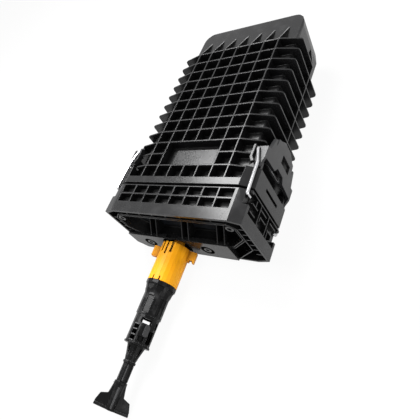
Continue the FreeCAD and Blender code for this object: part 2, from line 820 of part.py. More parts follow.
def make_pressure_plate():
    """The inner pressure plate with a cable slot over each compartment, and its bolts."""
    low = gel_high
    high = low + size("plate_thick")
    through = (low - past, high + past)
    plate = prism("pressure_stock", ring_outline(size("ring_wall") + fit), (low, high))
    tools = []
    for index in range(PORTS):
        slot_y = (bolt_y() - ring_rear / 1.6, bolt_y() + ring_rear / 3)
        tools.append(box(f"cable_slot_{index}", compartment(index, wall * 3), slot_y, through))
    bolts = []
    screws = []
    clear = size("bolt_radius") + running
    for index in range(PORTS - 1):
        x = wall_x(index)
        tools.append(many_sided(f"plate_hole_{index}", 8, clear, x, bolt_y(), through))
        shank_z = (low - size("deck"), high + past)
        shank = many_sided(f"bolt_shank_{index}", 8, size("bolt_radius"), x, bolt_y(), shank_z)
        head = many_sided(f"bolt_head_{index}", 6, size("bolt_head"), x, bolt_y(), (high, high + wall))
        bolts.append(fuse(f"bolt_{index}", [shank, head]))
        if index != (PORTS - 2) // 2:
            y = foot_screw_y()
            foot_top = high + size("carrier_thick")
            tools.append(many_sided(f"screw_hole_{index}", 8, clear, x, y, through))
            stem = many_sided(f"screw_stem_{index}", 8, size("bolt_radius"), x, y,
                              (low + past, foot_top + past))
            cap = many_sided(f"screw_head_{index}", 6, size("bolt_head"), x, y, (foot_top, foot_top + wall))
            screws.append(fuse(f"screw_{index}", [stem, cap]))
    node("inner_pressure_plate", cut("pressure_plate", plate, tools))
    node("pressure_bolts", group("bolt_group", bolts))
    node("carrier_screws", group("screw_group", screws))


def foot_screw_y():
    return carrier_back - size("carrier_thick") - size("bolt_head") - past


def group(name, parts):
    """Like pieces that share one node but stay separate solids."""
    return fuse(name, parts)


def hinge_z():
    return tray_low - size("hinge_drop")


def tray_back():
    """The rear face of the tray that lies on the carrier's back plate."""
    return carrier_back - size("carrier_thick") - size("tray_gap") / 2


def tray_depth():
    """The depth of one tray, from the room left between the back plate and the dome's wall."""
    cover = size("tray_wall") + strap_gap + size("strap_thick") + size("tray_room")
    room = tray_back() + shell_front - wall - cover
    return (room - size("tray_gap") * (TRAYS - 1)) / TRAYS


def tray_front(index):
    """The front face of a tray, counted forwards from the carrier's back plate."""
    return tray_back() - (tray_depth() + size("tray_gap")) * index - tray_depth()


def make_carrier():
    """The organiser frame: a back plate on two feet, with cheeks for the tray hinges."""
    low = carrier_low
    half = size("carrier_width") / 2
    back_y = (carrier_back - size("carrier_thick"), carrier_back)
    plate = box("carrier_plate", (-half, half), back_y, (low, size("dome_top") - size("carrier_drop")))
    parts = [plate]
    tools = []
    foot_half = size("bolt_head") * 2
    for index in (-1, 1):
        x = size("port_pitch") * index
        foot_y = (back_y[0] - size("bolt_head") * 2 - 2 * past, back_y[1])
        foot_z = (low, low + size("carrier_thick"))
        parts.append(box(f"carrier_foot_{(index + 1) // 2}", (x - foot_half, x + foot_half), foot_y, foot_z))
        tools.append(many_sided(f"foot_hole_{(index + 1) // 2}", 8, size("bolt_radius") + running, x,
                                foot_screw_y(), (foot_z[0] - past, foot_z[1] + past)))
    outer = size("tray_width") / 2 + size("cheek_inset") + size("carrier_thick")
    tall = (hinge_z() - size("hinge_drop"), hinge_z() + size("hinge_drop"))
    parts.append(box("carrier_bar", (-outer, outer), back_y, tall))
    cheek = box("carrier_cheek", (outer - size("carrier_thick"), outer),
                (tray_front(TRAYS - 1), back_y[1]), tall)
    parts.append(both("carrier_cheeks", cheek, ACROSS))
    pins = []
    for index in range(TRAYS):
        y = tray_front(index) + tray_depth() / 2
        hole_x = (-outer - past, outer + past)
        tools.append(long_bar(f"cheek_hole_{index}", size("hinge_pin") + running, hole_x, y, hinge_z()))
        pins.append(long_bar(f"tray_pin_{index}", size("hinge_pin"), (-outer, outer), y, hinge_z()))
    node("tray_carrier", cut("carrier", fuse("carrier_form", parts), tools))
    node("tray_pins", group("tray_pin_group", pins))


def make_trays():
    """Four shallow splice trays on their hinge pins, each with a comb for the splices."""
    half = size("tray_width") / 2
    low = tray_low
    high = low + size("tray_length")
    rim = size("tray_wall")
    comb_low = high - size("tray_length") / 3
    for index in range(TRAYS):
        front = tray_front(index)
        back = front + tray_depth()
        body = box(f"tray_block_{index}", (-half, half), (front, back), (low, high))
        room = box(f"tray_room_{index}", (-half + rim, half - rim), (front - past, back - rim),
                   (low + rim, high - rim))
        lug = box(f"tray_lug_{index}", (half - size("hinge_drop") * 2, half - size("hinge_drop")),
                  (front + past, back - past), (hinge_z() - size("hinge_drop") / 2, low + past))
        hole = long_bar(f"tray_hole_{index}", size("hinge_pin") + running, (-half, half),
                        front + tray_depth() / 2, hinge_z())
        pan = cut(f"tray_pan_{index}", body, [room])
        blank = fuse(f"tray_blank_{index}", [pan, both(f"tray_lugs_{index}", lug, ACROSS)])
        node(f"splice_tray_{index + 1}", cut(f"tray_form_{index}", blank, [hole]))
        floor = back - rim
        pad = box(f"comb_pad_{index}", (-half / 2, half / 2), (floor - rim, floor),
                  (comb_low, comb_low + half / 1.5))
        teeth = [pad]
        for number in range(7):
            x = half / 6 * (number - 3)
            teeth.append(box(f"comb_tooth_{index}_{number}", (x - rim / 2, x + rim / 2),
                             (front + past, floor - rim + past / 2), (comb_low, comb_low + half / 1.5)))
        node(f"splice_comb_{index + 1}", fuse(f"comb_{index}", teeth))
    cover_back = tray_front(TRAYS - 1)
    cover_y = (cover_back - size("tray_wall"), cover_back)
    node("tray_cover", cut("tray_cover_form", box("cover_sheet", (-half, half), cover_y, (low, high)),
                           [box("cover_notch", (-half / 4, half / 4), (cover_y[0] - past, cover_y[1] + past),
                                (high - rim * 3, high + past))]))
    strap_z = (low + size("tray_length") / 3, low + size("tray_length") / 3 + size("strap_width"))
    inside_x = half + strap_gap
    inside_y = (cover_y[0] - strap_gap, carrier_back + strap_gap)
    thick = size("strap_thick")
    loop = box("strap_loop", (-inside_x - thick, inside_x + thick),
               (inside_y[0] - thick, inside_y[1] + thick), strap_z)
    hollow = box("strap_hollow", (-inside_x, inside_x), inside_y, (strap_z[0] - past, strap_z[1] + past))
    node("tray_strap", cut("strap", loop, [hollow]))


# Cable holder heights, from the base's underside downwards.
sleeve_low = -(size("sleeve_drop") + size("sleeve_length"))
collar_low = sleeve_low - size("collar_length")
tube_low = collar_low - size("tube_length")
clamp_low = tube_low - size("clamp_length")
plate_low = clamp_low - size("holder_flange_thick")
taper_low = plate_low - size("neck_taper")
ring_low = taper_low - size("neck_band")
neck_low = ring_low - size("neck_length")
foot_ring_low = neck_low - size("neck_band")
foot_low = foot_ring_low - size("foot_height")
HOLDER_TURN = 39.0
LUG_TURN = 109.0
HALF_TURN = 180.0
seat_index = 1


def spoke(name, angle, radial, half_width, z):
    """A block along one direction from the holder's axis; angle 0 faces the closure's front."""
    bar = box(name, (-as_size(half_width), half_width), (0, 1), z)
    bind(bar, Placement__Base__x=0, Placement__Base__y=0)
    low, high = radial
    bind(bar, Width=as_size(high) - low)
    turn = math.radians(angle)
    bar.Placement = Placement(Vector(), Rotation(Vector(0, 0, 1), angle + 180.0))
    sine, cosine = math.sin(turn), math.cos(turn)
    bind(bar, Placement__Base__x=as_size(low) * sine + as_size(half_width) * cosine)
    bind(bar, Placement__Base__y=as_size(half_width) * sine - as_size(low) * cosine)
    return bar


def make_sleeve():
    """The orange port sleeve: a slotted tube pushed on a seat post by its inner hub."""
    outer = size("sleeve_radius")
    inner = outer - size("sleeve_wall")
    top = -size("sleeve_drop")
    hub_in = (size("post_radius") + running) / math.cos(math.pi / 16)
    hub_out = hub_in + size("hub_wall")
    web_low = top - size("post_bore") * 5
    web_high = web_low + size("sleeve_wall")
    shaft = (web_low - past, size("hub_rise") + past)
    tube = cut("sleeve_tube", many_sided("sleeve_stock", 24, outer, 0, 0, (sleeve_low, top)),
               [many_sided("sleeve_mouth", 24, inner, 0, 0, (sleeve_low - past, web_low)),
                many_sided("sleeve_well", 24, inner, 0, 0, (web_high, top + past))])
    hub = many_sided("sleeve_hub", 16, hub_out, 0, 0, (web_low, size("hub_rise")))
    across = (inner - past, outer + past)
    lug_z = (top - size("post_bore") * 5.6, top)
    lugs = []
    tools = [many_sided("sleeve_seat", 16, hub_in, 0, 0, shaft)]
    for side in range(2):
        reach = (inner + past, outer + size("lug_reach"))
        drop = size("post_bore") * 2 * side
        lugs.append(spoke(f"lug_{side}", LUG_TURN - HALF_TURN * side, reach,
                          size("hub_wall") * 1.3, (lug_z[0] - drop, lug_z[1] - drop)))
    notch = (outer + size("hub_wall"), outer + size("lug_reach") - size("hub_wall"))
    tools.append(spoke("lug_notch", LUG_TURN, notch, size("hub_wall") * 2,
                       (lug_z[0] - past, lug_z[0] + size("hub_wall"))))
    for number, (turn, drop) in enumerate(((-21.0, 6.0), (-1.0, 7.5), (19.0, 6.0))):
        depth = size("post_bore") * drop * 0.9
        tools.append(spoke(f"finger_slot_{number}", turn, across, past * 1.3,
                           (top - depth, top + past)))
    for number, turn in enumerate((-6.0, 20.0)):
        tools.append(spoke(f"foot_slot_{number}", turn, across, past * 0.7,
                           (sleeve_low - past, sleeve_low + size("post_radius"))))
    form = cut("sleeve_form", fuse("sleeve_body", [tube, hub] + lugs), tools)
    at(form, seat_x(seat_index), seat_back)
    node("port_sleeve", wrap("sleeve_placed", form))


def wrap(name, form):
    """A finished form as an object with a Placement of its own."""
    copy = doc.addObject("Part::Refine", name)
    copy.Source = form
    return copy


def make_holder():
    """The cable holder: spigot and flared collar, tube, open clamp cage, neck and saddle foot."""
    spigot = size("sleeve_radius") - size("sleeve_wall") - running * 4
    bore = size("holder_bore")
    collar = size("collar_radius")
    tube = size("tube_radius")
    clamp = size("clamp_radius")
    plate = size("holder_flange")
    top = sleeve_low + size("collar_length")
    band = size("neck_ring")
    slim = size("neck_radius")
    stages = (
        ("spigot", [(spigot, sleeve_low - past), (spigot, top)]),
        ("collar", [(tube, tube_low), (tube, collar_low), (collar, sleeve_low - size("collar_length") / 4),
                    (collar, sleeve_low)]),
        ("cage", [(clamp, clamp_low), (clamp, tube_low + past)]),
        ("plate", [(plate, plate_low), (plate, clamp_low)]),
        ("taper", [(band - past, taper_low), (size("neck_top"), plate_low)]),
        ("upper_band", [(band, ring_low), (band, taper_low)]),
        ("neck", [(slim, neck_low), (slim, ring_low)]),
        ("lower_band", [(band, foot_ring_low), (band, neck_low)]),
        ("stem", [(slim - 2 * past, foot_low), (slim, foot_ring_low)]),
    )
    pieces = [tapered(f"holder_{name}", 16, sections) for name, sections in stages]
    hollow = many_sided("holder_hollow", 16, bore, 0, 0, (clamp_low, top + past))
    body = fuse("holder_body", pieces)
    tools = [hollow]
    flutes = 8
    for number in range(flutes):
        turn = 360.0 / flutes * number + HOLDER_TURN
        tools.append(spoke(f"collar_pocket_{number}", turn, (tube + past, collar + past), slim * 0.7,
                           (collar_low - past, sleeve_low - size("collar_length") / 3)))
        tools.append(spoke(f"neck_flute_{number}", turn, (band, size("neck_top") + past), past * 1.1,
                           (taper_low + past, plate_low - past * 2)))
    across = (bore - past, tube + past)
    rung = size("clamp_length") / 5
    windows = (
        ("front", 0.0, 1.0, 3.5, 4.4),
        ("back", 180.0, 1.4, 1.0, 4.5),
        ("rung_low", -38.0, 0.5, 0.3, 0.95),
        ("rung_middle", -38.0, 0.5, 1.3, 1.95),
        ("rung_high", -38.0, 0.5, 2.3, 2.95),
        ("side", 48.0, 0.6, 0.3, 2.6),
        ("side_high", 62.0, 0.35, 3.1, 4.3),
        ("foot", 4.0, 0.55, 0.3, 1.2),
    )
    for name, turn, half, low, high in windows:
        tools.append(spoke(f"cage_{name}", HOLDER_TURN + turn, across, rung * half,
                           (clamp_low + rung * low, clamp_low + rung * high)))
    for number, (turn, half) in enumerate(((-25.0, 0.6), (30.0, 0.35))):
        tools.append(spoke(f"tube_flat_{number}", HOLDER_TURN + turn, (tube - past * 1.5, tube + past),
                           slim * half, (tube_low + rung * 0.4, collar_low - rung * 0.4)))
    parts = [cut("holder_cut", body, tools)]
    parts.append(wing("left", -64.0, size("foot_half")))
    parts.append(wing("right", 146.0, size("foot_far")))
    form = fuse("holder_form", parts)
    at(form, seat_x(seat_index), seat_back)
    node("cable_holder", wrap("holder_placed", form))


def wing(name, angle, reach):
    """One wing of the saddle foot, flaring out to a thick lower lip."""
    top = foot_ring_low
    span = size("foot_height")
    half = size("foot_thick") / 2
    outline = [(0, top), (size("neck_radius") + past, top), (reach * 0.46, top - span * 0.42),
               (reach * 0.86, top - span * 0.52), (reach, top - span * 0.82),
               (reach, foot_low), (0, foot_low)]
    blade = plate_across(f"wing_blade_{name}", outline, (-half, half))
    lip = box(f"wing_lip_{name}", (0, reach), (-half - past, half + past), (foot_low, foot_low + wall))
    form = fuse(f"wing_{name}", [blade, lip])
    form.Placement = Placement(Vector(), Rotation(Vector(0, 0, 1), angle - 90.0))
    return form


def make_latch():
    """One over-centre latch on the right, mirrored to the left: lever, wire bail and pins."""
    arm_top = lever_arm_top
    drop = pivot_z - size("pin_radius") * 1.75
    waist = pivot_z + size("pin_radius") * 4
    brow = lever_top - size("ear_head")
    right = [(arm_outer, waist), (arm_outer, arm_top), (ear_inner + past * 2, arm_top),
             (dome_front * 0.66, brow - size("ear_head")), (dome_front * 0.6, brow - size("ear_head")),
             (dome_front * 0.57, brow - size("ear_head") * 2), (dome_front * 0.52, brow - past),
             (dome_front * 0.43, brow), (dome_front * 0.2, lever_top)]
    lower = [(dome_front * 0.18, bail_z - past * 2), (dome_front * 0.28, pivot_z + size("ear_head") * 1.8),
             (arm_inner, pivot_z + size("ear_head") * 1.5), (arm_inner, waist)]
    left = [(-as_size(y), z) for y, z in right]
    outline = left + right[::-1] + lower[::-1] + [(-as_size(y), z) for y, z in lower]
    plate = plate_beside("lever_plate", outline, (lever_inner, lever_outer))
    window_y = (-dome_front * 0.12, dome_front * 0.38)
    window = box("lever_window", (lever_inner - past, lever_outer + past), window_y,
                 (arm_top + past * 5, arm_top + past * 16))
    pin = size("pin_radius")
    web_outline = [(arm_left, arm_top), (lever_outer, arm_top), (lever_outer, waist),
                   (pivot_x + pin * 1.25, pivot_z - pin * 1.25), (pivot_x + pin * 0.6, drop),
                   (pivot_x - pin, drop), (arm_left, pivot_z + size("ear_head"))]
    web = plate_across("lever_web", web_outline, (-arm_outer, -arm_inner))
    lip_right = bail_x - wire_radius - fit * 2
    lip_outline = [(arm_left, arm_top), (lip_right, arm_top), (lip_right, pivot_z + size("ear_head") + past),
                   (arm_left + wall * 2, pivot_z + past), (arm_left + wall, pivot_z),
                   (arm_left, pivot_z + size("ear_head"))]
    lip = plate_across("lever_lip", lip_outline, (-arm_outer - size("arm_lip"), -arm_outer))
    arm_y = (-arm_outer - past, -arm_inner + past)
    flat_share = math.cos(math.pi / 12)
    pin_hole = cross_bar("lever_hole", (size("pin_radius") + running) / flat_share, pivot_x, arm_y, pivot_z)
    bail_hole = cross_bar("bail_hole", (wire_radius + running) / flat_share, bail_x, arm_y, bail_z)
    arm = cut("lever_arm", fuse("lever_arm_form", [web, lip]), [pin_hole, bail_hole])
    lever = fuse("lever_form", [cut("lever_plate_open", plate, [window]), both("lever_arms", arm, THROUGH)])
    node("lever_right", wrap("lever_right_form", lever))
    node("lever_left", mirror("lever_left_form", lever, ACROSS))
    pin = cross_bar("lever_pin", size("pin_radius"), pivot_x, (-arm_outer, -ear_inner), pivot_z)
    pins = both("lever_pin_sides", both("lever_pin_pair", pin, THROUGH), ACROSS)
    node("lever_pins", wrap("lever_pin_group", pins))

    bail = doc.addObject("Part::Feature", "bail_wire")
    bail.Shape = bail_shape()
    node("bail_right", wrap("bail_right_form", bail))
    node("bail_left", mirror("bail_left_form", bail, ACROSS))


BEND_STEPS = 3


def bail_shape():
    """The bent wire of one bail: hook, front leg, crossbar, rear leg, hook."""
    depth = wire_depth.number
    radius = wire_radius.number
    hook = Vector(hook_axis_x.number, -depth, hook_axis_z.number)
    head = Vector(bail_x.number, -depth, bail_z.number)
    knee = Vector(hook.x - past * 1.2, -depth, pivot_z.number + past)
    tip = Vector(hook.x, -(arm_inner.number - radius), hook.z)
    across = Vector(head.x, 0, head.z)
    front = [tip] + bend(tip, hook, knee, radius * 1.4) + bend(hook, knee, head, radius * 1.6)
    front += bend(knee, head, across, radius * 1.4)
    rear = [Vector(point.x, -point.y, point.z) for point in reversed(front)]
    return swept_wire(front + rear, radius)


def bend(before, corner, after, reach):
    """A corner of the wire taken in short straight steps."""
    start = corner + (before - corner).normalize() * reach
    end = corner + (after - corner).normalize() * reach
    points = []
    for step in range(BEND_STEPS + 1):
        along = step / BEND_STEPS
        points.append(start * (1 - along) ** 2 + corner * (2 * along * (1 - along)) + end * along ** 2)
    return points


def swept_wire(points, radius):
    """A twelve-sided wire along a chain of straight runs, mitred where they meet."""
    heading = (points[1] - points[0]).normalize()
    turn = Rotation(Vector(0, 0, 1), heading)
    corners = []
    for number in range(13):
        angle = math.radians(30 * number)
        spot = Vector(radius * math.cos(angle), radius * math.sin(angle), 0)
        corners.append(points[0] + turn.multVec(spot))
    section = Part.makePolygon(corners)
    return Part.makePolygon(points).makePipeShell([section], True, False, 1)


make_base()
make_dome()
make_seal()
make_gel()
make_pressure_plate()
make_carrier()
make_trays()
make_sleeve()
make_holder()
make_latch()
doc.recompute()

for item in doc.Objects:
    if "Invalid" in item.State or "Error" in item.State:
        raise RuntimeError(f"{item.Name} failed: {item.State}")
for label, form in nodes.items():
    if form.Shape.isNull() or not form.Shape.isValid():
        raise RuntimeError(f"{label} has no valid shape")
for label, form in nodes.items():
    form.Shape.exportStep(f"parts/{label}.step")
    limits = form.Shape.BoundBox
    print(f"{label}: {len(form.Shape.Solids)} solids, volume {form.Shape.Volume:.0f},"
          f" x {limits.XMin:.1f} {limits.XMax:.1f}, y {limits.YMin:.1f} {limits.YMax:.1f},"
          f" z {limits.ZMin:.1f} {limits.ZMax:.1f}")
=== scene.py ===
import math

import bmesh
import bpy
from mathutils import Matrix, Vector


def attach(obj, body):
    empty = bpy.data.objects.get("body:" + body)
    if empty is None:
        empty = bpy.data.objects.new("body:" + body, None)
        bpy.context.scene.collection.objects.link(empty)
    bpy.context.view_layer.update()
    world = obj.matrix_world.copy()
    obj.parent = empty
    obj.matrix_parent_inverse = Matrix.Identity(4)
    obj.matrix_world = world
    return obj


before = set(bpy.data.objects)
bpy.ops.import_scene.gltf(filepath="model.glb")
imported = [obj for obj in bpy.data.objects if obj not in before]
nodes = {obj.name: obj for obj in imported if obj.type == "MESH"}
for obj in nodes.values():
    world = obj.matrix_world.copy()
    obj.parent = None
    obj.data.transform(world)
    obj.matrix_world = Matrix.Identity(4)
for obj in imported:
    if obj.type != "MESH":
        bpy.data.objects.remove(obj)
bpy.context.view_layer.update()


# The base is one black moulding of glass-filled plastic, with cells in its faces and walled cable
# compartments in its underside. The mould leaves a fine spark-eroded grain, slow flow marks and small
# radii on every edge. Shade is painted dark into its hollows, and a highlight pale on its smoother
# edges.
class Shade:
    """A socket of a material's node tree that takes part in sums and products."""

    def __init__(self, tree, socket=None):
        self.tree = tree
        self.socket = socket

    def add(self, kind, sockets=None, output=0, stops=None, **settings):
        """Adds a node: first its settings and a ramp's stops, then its sockets' values or links."""
        made = self.tree.nodes.new(kind)
        for name, value in settings.items():
            setattr(made, name, value)
        if stops:
            ramp = made.color_ramp
            while len(ramp.elements) < len(stops):
                ramp.elements.new(0.5)
            for element, (place, colour) in zip(ramp.elements, stops):
                element.position = place
                element.color = (*colour, 1.0)
        for key, value in (sockets or {}).items():
            if isinstance(value, Shade):
                self.tree.links.new(value.socket, made.inputs[key])
            else:
                made.inputs[key].default_value = value
        return Shade(self.tree, made.outputs[output])

    def maths(self, operation, first, second):
        return self.add("ShaderNodeMath", {0: first, 1: second}, operation=operation)

    def __add__(self, other):
        return self.maths("ADD", self, other)

    def __radd__(self, other):
        return self.maths("ADD", other, self)

    def __sub__(self, other):
        return self.maths("SUBTRACT", self, other)

    def __rsub__(self, other):
        return self.maths("SUBTRACT", other, self)

    def __mul__(self, other):
        return self.maths("MULTIPLY", self, other)

    def __rmul__(self, other):
        return self.maths("MULTIPLY", other, self)

    def __pow__(self, other):
        return self.maths("POWER", self, other)


def new_finish(name):
    """A node material with its surface shader, and the wrapped start of its node tree."""
    finish = bpy.data.materials.new(name)
    finish.use_nodes = True
    return finish, finish.node_tree.nodes["Principled BSDF"], Shade(finish.node_tree)


def feed(surface, **sockets):
    """Links shades to the surface shader's sockets, named with underscores for spaces."""
    for name, shade in sockets.items():
        shade.tree.links.new(shade.socket, surface.inputs[name.replace("_", " ")])


def mottle(start, scale, detail):
    """Noise that stays with the piece; the higher its scale, the finer it is."""
    place = start.add("ShaderNodeTexCoord", output="Object")
    return start.add("ShaderNodeTexNoise", {"Vector": place, "Scale": scale, "Detail": detail})


def moulded_plastic(name, painted_hollow_shade, open_face, edge, roughness, gloss=0.5, grain=0.25, highlight_strength=0.3):
    """Moulded plastic: grain and flow marks, rougher in the hollows and smoother on the edges; shade is
    painted dark into the hollows and a highlight painted pale on the edges.
    """
    hollow_reach, edge_reach, grain_height = 0.014, 0.0007, 0.00006
    level_from, open_tone, highlight_gain = 0.97, 0.7, 4.4
    hollow_dulling, unevenness, polish = 0.30, 0.06, 0.05
    finish, surface, start = new_finish(name)
    flow = mottle(start, scale=70.0, detail=4.0)
    speck = mottle(start, scale=2400.0, detail=2.0)
    # Painted shade: ambient occlusion darkens the colour in hollows towards the hollow shade colour.
    air = start.add("ShaderNodeAmbientOcclusion", {"Distance": hollow_reach}, output="AO", samples=8)
    facing = start.add("ShaderNodeNewGeometry", output="Normal")
    eased = start.add("ShaderNodeBevel", {"Radius": edge_reach}, samples=6)
    level = start.add("ShaderNodeVectorMath", {0: facing, 1: eased}, output="Value",
                      operation="DOT_PRODUCT")
    # Painted highlight: where the eased normal turns from the true one on open edges, the colour is
    # lifted towards the edge colour.
    turned = start.maths("MAXIMUM", level_from - level, 0.0)
    unshaded = air ** 2.0
    patches = 0.55 + 0.9 * flow
    streaks = 0.88 + 0.24 * flow
    edge_highlight = highlight_gain * turned * unshaded * patches
    shown = open_tone * unshaded * streaks + highlight_strength * edge_highlight
    # The ramp runs from the painted hollow shade through the plastic's own colour to the painted edge
    # highlight.
    tint = start.add("ShaderNodeValToRGB", {"Fac": shown},
                     stops=[(0.0, painted_hollow_shade), (open_tone, open_face), (1.0, edge)])
    bump = start.add("ShaderNodeBump", {"Strength": grain, "Distance": grain_height, "Height": speck})
    patchy = unevenness * (flow - 0.5) + unevenness * (speck - 0.5)
    dullness = roughness + hollow_dulling * (1.0 - air) + patchy - polish * edge_highlight
    feed(surface, Base_Color=tint, Roughness=dullness, Normal=bump)
    surface.inputs["Specular IOR Level"].default_value = gloss
    return finish


def mould_edges(piece, radius, sharper_than=38.0):
    """Gives a piece the small edge radii of a moulding, with live modifiers."""
    weld = piece.modifiers.new("joined_faces", "WELD")
    weld.merge_threshold = 0.000002
    edge = piece.modifiers.new("edge_radii", "BEVEL")
    edge.width = radius
    edge.segments = 2
    edge.profile = 0.5
    edge.limit_method = "ANGLE"
    edge.angle_limit = math.radians(sharper_than)
    edge.use_clamp_overlap = False
    edge.harden_normals = True


def dress(names, finish):
    """Gives the CAD nodes of these names one finish."""
    for name in names:
        nodes[name].data.materials.clear()
        nodes[name].data.materials.append(finish)


housing_plastic = moulded_plastic("housing_plastic", painted_hollow_shade=(0.0012, 0.0012, 0.0013),
                                  open_face=(0.011, 0.011, 0.0115), edge=(0.085, 0.085, 0.088),
                                  roughness=0.22, gloss=0.24)
mould_edges(nodes["base_housing"], radius=0.00035, sharper_than=14.0)
dress(["base_housing"], housing_plastic)

# Soft sealing gel fills the upper part of each cable compartment. It is cast dark and slightly oily,
# and is squeezed round the cables when the pressure plate is bolted down.
GEL_DEEP, GEL_SHEEN = (0.006, 0.007, 0.009), (0.010, 0.012, 0.016)
GEL_SWELL, GEL_OIL = 0.0004, 0.3
sealing_gel, surface, start = new_finish("sealing_gel")
swell = mottle(start, scale=120.0, detail=2.0)
tint = start.add("ShaderNodeValToRGB", {"Fac": swell}, stops=[(0.3, GEL_DEEP), (0.7, GEL_SHEEN)])
wavy = start.add("ShaderNodeBump", {"Strength": 0.3, "Distance": GEL_SWELL, "Height": swell})
feed(surface, Base_Color=tint, Roughness=0.30 + 0.20 * swell, Normal=wavy)
surface.inputs["Coat Weight"].default_value = GEL_OIL
gel_blocks = [name for name in nodes if name.startswith("gel_block")]
dress(gel_blocks, sealing_gel)

# The inner pressure plate, the organiser's frame and the splice combs are plain dark mouldings, out of
# sight under the dome. Bolts draw the plate down onto the gel, and screws fix the frame's foot to it.
inner_plastic = moulded_plastic("inner_plastic", painted_hollow_shade=(0.012, 0.012, 0.013),
                                open_face=(0.050, 0.050, 0.055), edge=(0.090, 0.090, 0.095),
                                roughness=0.48)
combs = [name for name in nodes if name.startswith("splice_comb")]
dress(["inner_pressure_plate", "tray_carrier"] + combs, inner_plastic)

# The splice trays and their cover are pale grey mouldings, thin walled and slightly satin. The trays
# are stacked in front of the frame and turn on steel pins.
tray_plastic = moulded_plastic("tray_plastic", painted_hollow_shade=(0.30, 0.30, 0.31),
                               open_face=(0.56, 0.56, 0.57), edge=(0.62, 0.62, 0.63),
                               roughness=0.44)
trays = [name for name in nodes if name.startswith("splice_tray")]
dress(trays + ["tray_cover"], tray_plastic)

# A woven strap of black thread is looped round the trays and holds them against the frame. Its threads
# cross at about a millimetre.
STRAP_GAP, STRAP_THREAD = (0.010, 0.010, 0.010), (0.045, 0.045, 0.045)
STRAP_WEAVE = {"Scale": 260.0, "Distortion": 0.4}
STRAP_RELIEF = 0.0003
woven_strap, surface, start = new_finish("woven_strap")
place = start.add("ShaderNodeTexCoord", output="Object")
warp = start.add("ShaderNodeTexWave", {"Vector": place, **STRAP_WEAVE}, bands_direction="X")
weft = start.add("ShaderNodeTexWave", {"Vector": place, **STRAP_WEAVE}, bands_direction="Y")
thread = warp * weft
tint = start.add("ShaderNodeValToRGB", {"Fac": thread}, stops=[(0.0, STRAP_GAP), (1.0, STRAP_THREAD)])
woven = start.add("ShaderNodeBump", {"Strength": 0.6, "Distance": STRAP_RELIEF, "Height": thread})
feed(surface, Base_Color=tint, Roughness=0.9 - 0.15 * thread, Normal=woven)
dress(["tray_strap"], woven_strap)

# The flat seal between base and dome is cut from black rubber, which shows a pale bloom in places. The
# latches press it in the parting line.
RUBBER_BLACK, RUBBER_BLOOM = (0.008, 0.008, 0.008), (0.022, 0.022, 0.022)
seal_rubber, surface, start = new_finish("seal_rubber")
bloom = mottle(start, scale=90.0, detail=4.0)
tint = start.add("ShaderNodeValToRGB", {"Fac": bloom},
                 stops=[(0.35, RUBBER_BLACK), (0.8, RUBBER_BLOOM)])
feed(surface, Base_Color=tint, Roughness=0.70 + 0.20 * bloom)
dress(["dome_seal"], seal_rubber)

# The dome is moulded in the base's plastic: a smooth shell that rises out of a grid of deep ribs. It
# stands on the seal, and the two latches draw it down.
mould_edges(nodes["dome"], radius=0.0005, sharper_than=21.0)
dress(["dome"], housing_plastic)

# The latch levers are moulded in a slightly paler, tougher plastic. They hang on steel pins in the
# dome's ears, and the window in each takes a finger tip.
latch_plastic = moulded_plastic("latch_plastic", painted_hollow_shade=(0.004, 0.004, 0.0044),
                                open_face=(0.020, 0.020, 0.021), edge=(0.110, 0.110, 0.114),
                                roughness=0.32, gloss=0.28)
levers = ["lever_left", "lever_right"]
for lever in levers:
    mould_edges(nodes[lever], radius=0.0004)
dress(levers, latch_plastic)

# The bails are bent from bright drawn wire: each turns in its lever and hooks into a pocket of the
# base. The hinge pins, the bolts and the screws are the same steel.
STEEL_STAINED, STEEL_BRIGHT = (0.44, 0.44, 0.45), (0.56, 0.56, 0.57)
drawn_steel, surface, start = new_finish("drawn_steel")
drawn = mottle(start, scale=700.0, detail=3.0)
stain = mottle(start, scale=60.0, detail=2.0)
tint = start.add("ShaderNodeValToRGB", {"Fac": stain},
                 stops=[(0.3, STEEL_STAINED), (0.7, STEEL_BRIGHT)])
surface.inputs["Metallic"].default_value = 1.0
feed(surface, Base_Color=tint, Roughness=0.20 + 0.08 * drawn)
bails = ["bail_left", "bail_right"]
for bail in bails:
    mould_edges(nodes[bail], radius=0.0001, sharper_than=60.0)
dress(bails + ["lever_pins", "pressure_bolts", "carrier_screws", "tray_pins"], drawn_steel)

# The port sleeve is a slotted tube of orange plastic, moulded with a soft gloss. Its inner hub is
# pushed onto one of the seat posts under the base.
orange_plastic = moulded_plastic("orange_plastic", painted_hollow_shade=(0.10, 0.02, 0.0005),
                                 open_face=(1.0, 0.41, 0.004), edge=(1.0, 0.62, 0.07),
                                 roughness=0.46, gloss=0.22, grain=0.12)
mould_edges(nodes["port_sleeve"], radius=0.0004)
dress(["port_sleeve"], orange_plastic)

# The cable holder is one black moulding: collar, tube, open clamp cage, fluted neck and saddle foot.
# It snaps into the lower end of the sleeve.
# The grey of the highlight painted on the holder's edges.
EDGE_HIGHLIGHT_GREY = (0.22, 0.22, 0.224)
holder_plastic = moulded_plastic("holder_plastic", painted_hollow_shade=(0.0006, 0.0006, 0.0007),
                                 open_face=(0.0026, 0.0026, 0.0028), edge=EDGE_HIGHLIGHT_GREY,
                                 roughness=0.25, gloss=0.12, highlight_strength=0.6)
mould_edges(nodes["cable_holder"], radius=0.0005, sharper_than=30.0)
dress(["cable_holder"], holder_plastic)

